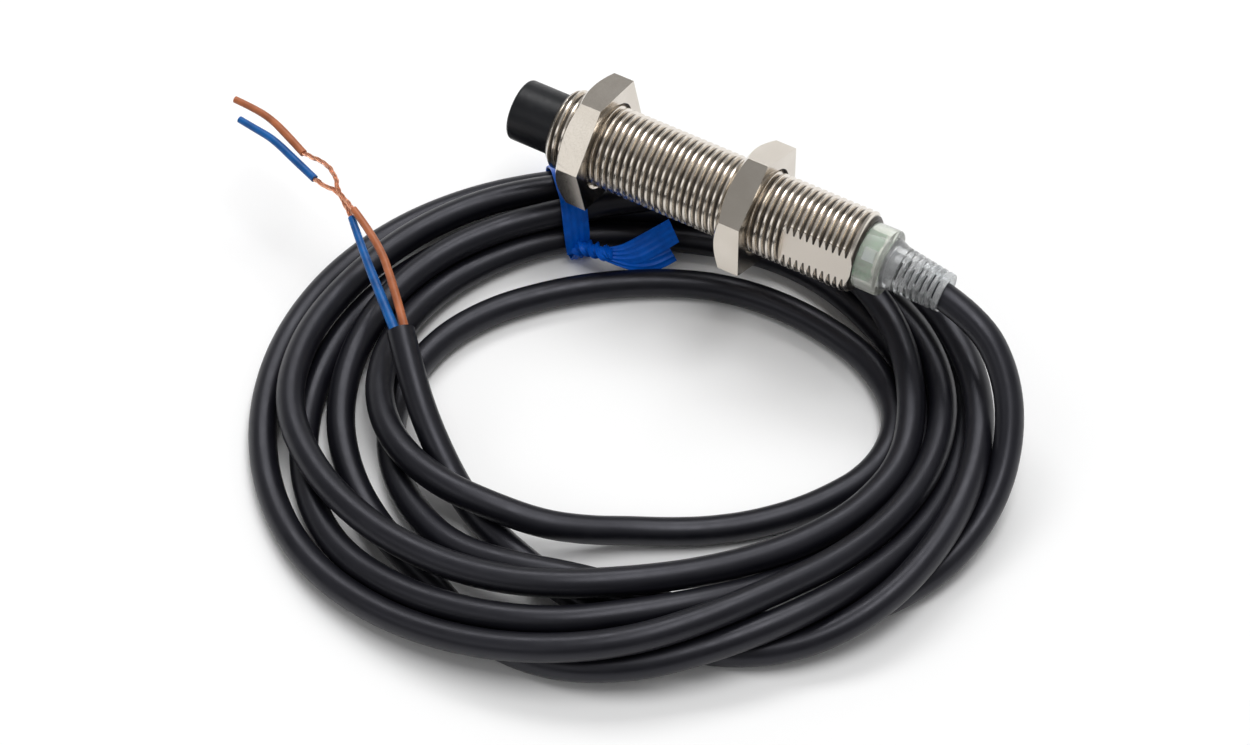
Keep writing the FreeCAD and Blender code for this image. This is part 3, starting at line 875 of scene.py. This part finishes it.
def dress_cad():
    """Every CAD node gets its slot's material; those that still show are welded, and the nuts, rear cover
    and strain relief get eased edges.
    """
    eased = {"front_nut": 0.14, "rear_nut": 0.14, "rear_cover": 0.12, "strain_relief": 0.04}
    for row in frame["record"]["subparts"]:
        node = frame["nodes"][row["node"]]
        node.data.materials.clear()
        node.data.materials.append(MATERIALS[row["material_slot"]])
        if node.hide_render:
            continue
        weld = node.modifiers.new("weld", "WELD")
        weld.merge_threshold = 0.002 * MM
        if row["node"] in eased:
            bevel = node.modifiers.new("eased_edges", "BEVEL")
            bevel.width = eased[row["node"]] * MM
            bevel.segments = 3
            bevel.limit_method = "ANGLE"
            bevel.angle_limit = math.radians(40.0)
            bevel.use_clamp_overlap = True


# ---- Stage, lights and camera -----------------------------------------------------------------

def make_stage():
    """A white floor, a hair below the object."""
    bpy.ops.mesh.primitive_plane_add(size=3.0, location=(0.03, -0.03, FLOOR_Z * MM - 0.00005))
    floor = bpy.context.object
    floor.name = "floor"
    s = Shader("floor_white", Roughness=0.85, Specular_IOR_Level=0.1)
    s.colour(s.ramp(s.noise(3.0, 2.0), (0.3, (0.93, 0.93, 0.93)), (0.7, (0.96, 0.96, 0.96))))
    floor.data.materials.append(s.material)


def area_light(name, place, target, wide, high, power):
    """A rectangular lamp at place that faces target, in metres and watts."""
    data = bpy.data.lights.new(name, "AREA")
    data.shape = "RECTANGLE"
    data.size = wide
    data.size_y = high
    data.energy = power
    light = add_object(name, data)
    light.location = place
    light.rotation_euler = (Vector(target) - Vector(place)).to_track_quat("-Z", "Y").to_euler()


def make_lights():
    middle = (0.03, 0.0, 0.0)
    area_light("back_softbox", (-0.195, 0.332, 0.633), middle, wide=0.62, high=0.22, power=2.3)
    area_light("front_softbox", (-0.21, -0.62, 0.45), middle, wide=0.60, high=0.30, power=0.50)
    area_light("overhead", (0.20, 0.02, 1.10), middle, wide=0.8, high=0.35, power=5.8)
    bpy.context.scene.world = make_world()


def world_ramp(tree, value, *stops):
    """Grey by a value, from stops of (value, brightness)."""
    ramp = tree.nodes.new("ShaderNodeValToRGB")
    while len(ramp.color_ramp.elements) < len(stops):
        ramp.color_ramp.elements.new(0.5)
    for element, (at, level) in zip(ramp.color_ramp.elements, stops):
        element.position = at
        element.color = (level, level, level, 1.0)
    tree.links.new(value, ramp.inputs["Fac"])
    return ramp.outputs["Color"]


def make_world():
    """Studio surroundings by height: bright at the horizon, dim above it, dimmest in front."""
    world = bpy.data.worlds.new("studio")
    world.use_nodes = True
    tree = world.node_tree
    place = tree.nodes.new("ShaderNodeTexCoord")
    parts = tree.nodes.new("ShaderNodeSeparateXYZ")
    tree.links.new(place.outputs["Generated"], parts.inputs[0])
    height = parts.outputs["Z"]
    back = world_ramp(tree, height, (0.0, 1.25), (0.12, 1.1), (0.32, 0.34), (0.6, 0.40), (1.0, 0.45))
    front = world_ramp(tree, height, (0.0, 0.9), (0.10, 0.75), (0.2, 0.05), (0.42, 0.08), (0.6, 0.34))
    side = tree.nodes.new("ShaderNodeMapRange")
    side.inputs["From Min"].default_value = 0.25
    side.inputs["From Max"].default_value = -0.45
    tree.links.new(parts.outputs["Y"], side.inputs["Value"])
    mix = tree.nodes.new("ShaderNodeMix")
    mix.data_type = "RGBA"
    colour_a, colour_b = mix.inputs[6], mix.inputs[7]
    mixed = mix.outputs[2]
    tree.links.new(side.outputs["Result"], mix.inputs["Factor"])
    tree.links.new(back, colour_a)
    tree.links.new(front, colour_b)
    tree.links.new(mixed, tree.nodes["Background"].inputs["Color"])
    return world


def make_camera():
    """A long lens that looks down at the object from its front right."""
    azimuth = math.radians(CAMERA_AZIMUTH)
    elevation = math.radians(CAMERA_ELEVATION)
    back = Vector((
        math.sin(azimuth) * math.cos(elevation),
        -math.cos(azimuth) * math.cos(elevation),
        math.sin(elevation),
    ))
    data = bpy.data.cameras.new("camera")
    data.sensor_width = 36.0
    data.lens = CAMERA_LENS
    data.clip_start = 0.05
    data.clip_end = 10.0
    camera = add_object("camera", data)
    camera.location = CAMERA_AT
    camera.rotation_euler = (-back).to_track_quat("-Z", "Y").to_euler()
    bpy.context.scene.camera = camera


# ---- The whole scene --------------------------------------------------------------------------

make_camera()
cable = make_cable()
tie_pieces = make_tie()
lead_pieces = make_leads()
make_barrel()
dress_cad()
make_stage()
make_lights()
bpy.context.scene.view_settings.view_transform = "Standard"
bpy.context.view_layer.update()
